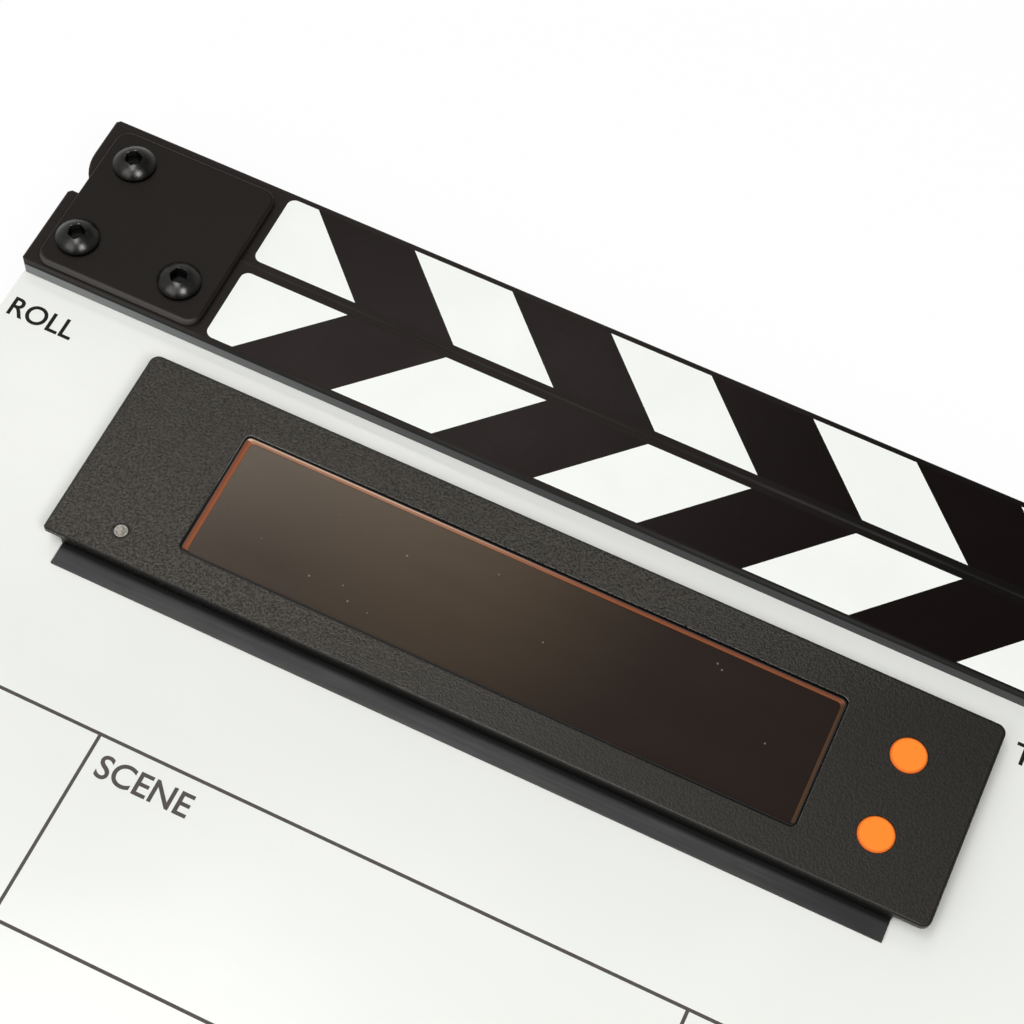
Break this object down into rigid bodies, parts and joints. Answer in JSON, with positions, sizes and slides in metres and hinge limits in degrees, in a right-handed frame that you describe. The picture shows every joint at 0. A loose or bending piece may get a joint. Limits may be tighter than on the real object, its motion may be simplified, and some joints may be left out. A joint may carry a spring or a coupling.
{
  "type": "clapperboard",
  "caption": "Film slate with a swinging striped clapstick over a fixed one, a ruled white writing board and a time display unit with push buttons let into it.",
  "frame": {"origin": "under the middle of the closed slate, on the surface that it lies on", "axes": "+X along the clapsticks away from the hinge, +Y up the board towards the sticks, +Z out of the writing face"},
  "size_m": [0.293, 0.2444, 0.0243],
  "materials": {
    "board_acrylic": "gloss white acrylic",
    "line_ink": "dark filled engraving",
    "stick_black": "matt black",
    "stripe_white": "satin white",
    "stripe_black": "satin black",
    "clip_steel": "spring steel",
    "zinc_steel": "bright zinc",
    "brass": "machined brass",
    "plate_black": "black powder coat",
    "black_steel": "black oxide",
    "bezel_plastic": "fine moulded texture",
    "housing_plastic": "fine moulded texture",
    "window_filter": "smoked amber gloss",
    "digit_black": "gloss black",
    "circuit_green": "solder mask",
    "button_orange": "satin orange",
    "switch_black": "black plastic",
    "lens_clear": "clear light pipe",
    "led_white": "white package",
    "battery_silver": "foil pouch"
  },
  "bodies": {
    "slate": {"slate_board": "board_acrylic", "grid_lines": "line_ink", "lower_stick": "stick_black", "lower_white_stripes": "stripe_white", "lower_black_stripes": "stripe_black", "stick_screws": "zinc_steel", "hinge_front_plate": "plate_black", "hinge_back_plate": "plate_black", "hinge_screws": "black_steel", "pivot_screw": "black_steel", "front_bezel": "bezel_plastic", "rear_housing": "housing_plastic", "filter_window": "window_filter", "digit_modules": "digit_black", "display_board": "circuit_green", "charge_board": "circuit_green", "button_switches": "switch_black", "status_lens": "lens_clear", "status_led": "led_white", "battery_cell": "battery_silver", "charge_socket": "zinc_steel", "timecode_jack": "switch_black", "thread_insert": "brass", "case_screws": "black_steel", "lower_clip": "clip_steel", "upper_clip": "clip_steel"},
    "upper_clapstick": {"upper_stick": "stick_black", "upper_white_stripes": "stripe_white", "upper_black_stripes": "stripe_black", "pivot_bush": "brass"},
    "upper_push": {"upper_button": "button_orange"},
    "lower_push": {"lower_button": "button_orange"}
  },
  "joints": [
    {"name": "clap_hinge", "type": "hinge", "parent": "slate", "child": "upper_clapstick", "pos_m": [-0.1351, 0.11065, 0.0095], "axis": [0, 0, 1], "range_deg": [0, 90]},
    {"name": "upper_button_press", "type": "slide", "parent": "slate", "child": "upper_push", "axis": [0, 0, -1], "range_m": [0, 0.0005], "stiffness_N_per_m": 3000},
    {"name": "lower_button_press", "type": "slide", "parent": "slate", "child": "lower_push", "axis": [0, 0, -1], "range_m": [0, 0.0005], "stiffness_N_per_m": 3000}
  ]
}
